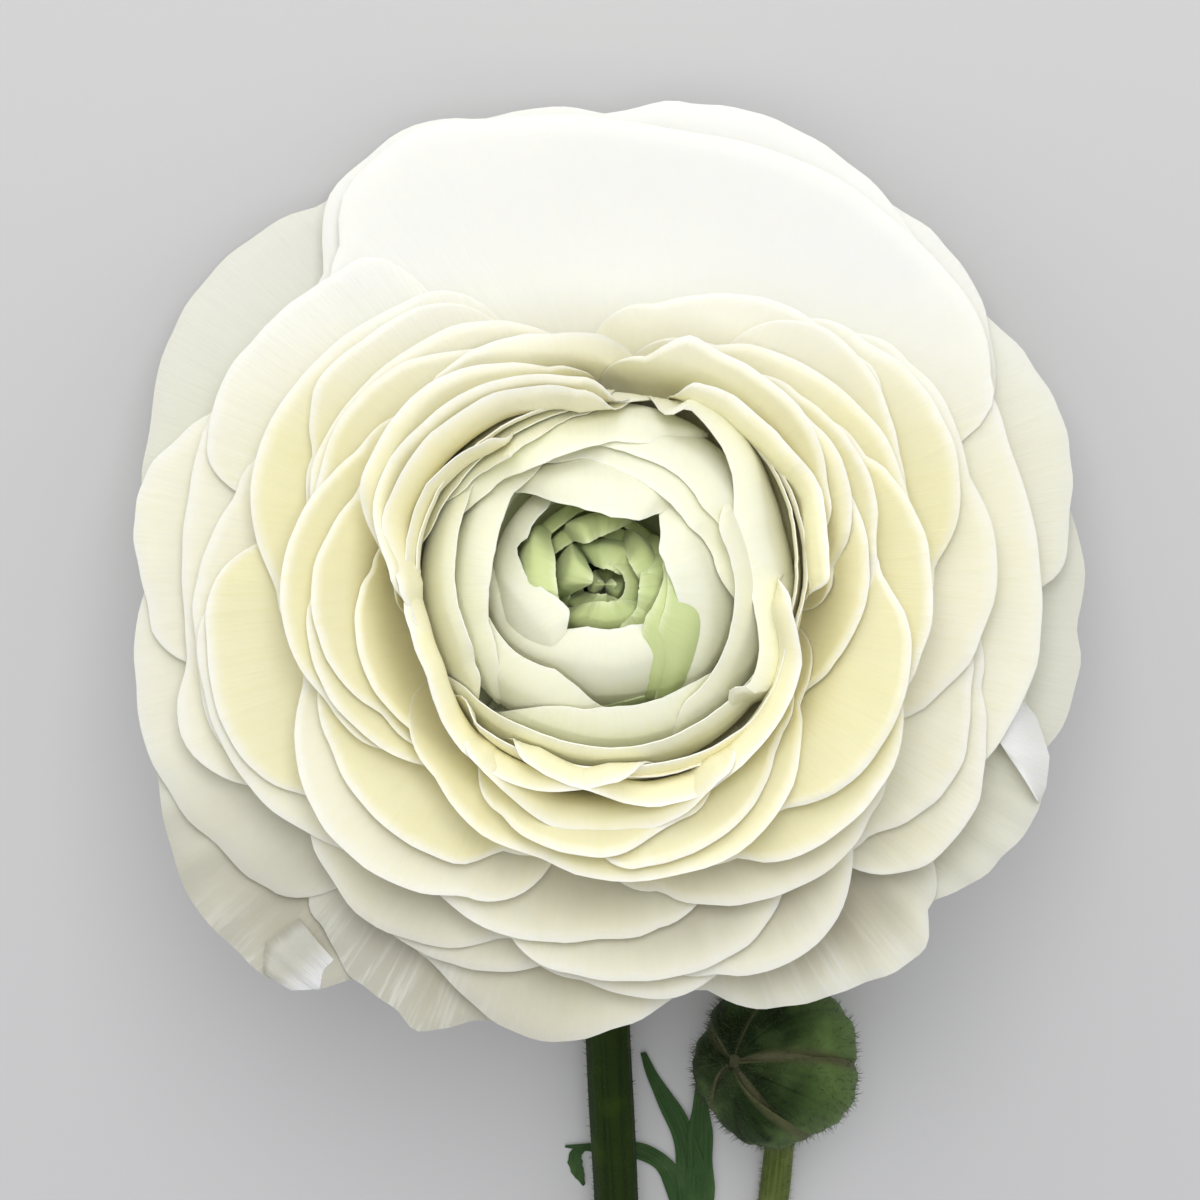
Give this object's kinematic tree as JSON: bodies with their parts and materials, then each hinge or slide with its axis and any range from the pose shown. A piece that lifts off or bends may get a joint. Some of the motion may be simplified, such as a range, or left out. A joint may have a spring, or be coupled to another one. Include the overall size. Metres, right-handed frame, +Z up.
{
  "type": "cut ranunculus flower",
  "caption": "Double ranunculus bloom of nested cream-white petals round a green eye, lying on its cut stem with a lobed leaf and a closed bud.",
  "frame": {"origin": "on the surface the flower lies on, below the middle of its footprint", "axes": "+Z up from the surface; +Y along the stem, away from the bloom, which is the longest extent; +X across the bloom"},
  "size_m": [0.0954, 0.1948, 0.0567],
  "materials": {
    "petal_white": "soft satin, thin and slightly translucent",
    "petal_cream": "soft satin, thin and slightly translucent",
    "petal_green": "soft satin, pale green",
    "sepal_green": "matte, finely hairy",
    "stem_green": "matte, faintly ribbed and downy",
    "stalk_green": "matte, downy",
    "leaf_green": "matte, veined"
  },
  "bodies": {
    "root": {"eye_petal_low_left": "petal_green", "eye_petal_top": "petal_green", "eye_petal_bottom": "petal_green", "eye_petal_left": "petal_green", "eye_petal_right": "petal_green", "eye_petal_low_right": "petal_green", "ball_petal_left": "petal_cream", "ball_petal_right": "petal_cream", "ball_petal_bottom": "petal_cream", "ball_petal_top": "petal_cream", "ball_petal_top_right": "petal_cream", "ball_petal_low_left": "petal_cream", "ball_petal_low_right": "petal_cream", "ball_petal_top_left": "petal_cream", "ball_petal_crown": "petal_cream", "cup_petal_right": "petal_cream", "cup_petal_bottom": "petal_cream", "cup_petal_top": "petal_cream", "cup_petal_low_left": "petal_cream", "cup_petal_low_right": "petal_cream", "cup_petal_top_right": "petal_cream", "middle_petal_bottom": "petal_white", "middle_petal_left": "petal_cream", "middle_petal_top_left": "petal_cream", "middle_petal_low_right": "petal_white", "middle_petal_right": "petal_cream", "middle_petal_top_right": "petal_cream", "middle_petal_low_left": "petal_white", "broad_petal_bottom": "petal_white", "broad_petal_left": "petal_cream", "broad_petal_right": "petal_cream", "broad_petal_low_bottom": "petal_white", "broad_petal_low_left": "petal_white", "broad_petal_low_right": "petal_white", "broad_petal_far_right": "petal_white", "broad_petal_top_left": "petal_white", "outer_petal_top_right": "petal_white", "outer_petal_left": "petal_white", "outer_petal_bottom": "petal_white", "outer_petal_low_right": "petal_white", "outer_petal_top": "petal_white", "outer_petal_low_left": "petal_white", "outer_petal_right": "petal_white", "outer_petal_far_right": "petal_white", "outer_petal_top_left": "petal_white", "receptacle": "stem_green", "stem": "stem_green", "leaf": "leaf_green", "bud_stalk": "stalk_green", "bud_petals": "petal_cream", "sepal_1": "sepal_green", "bud_sepal_1": "sepal_green", "sepal_2": "sepal_green", "bud_sepal_2": "sepal_green", "sepal_3": "sepal_green", "bud_sepal_3": "sepal_green", "sepal_4": "sepal_green", "bud_sepal_4": "sepal_green", "sepal_5": "sepal_green", "bud_sepal_5": "sepal_green"}
  },
  "joints": []
}
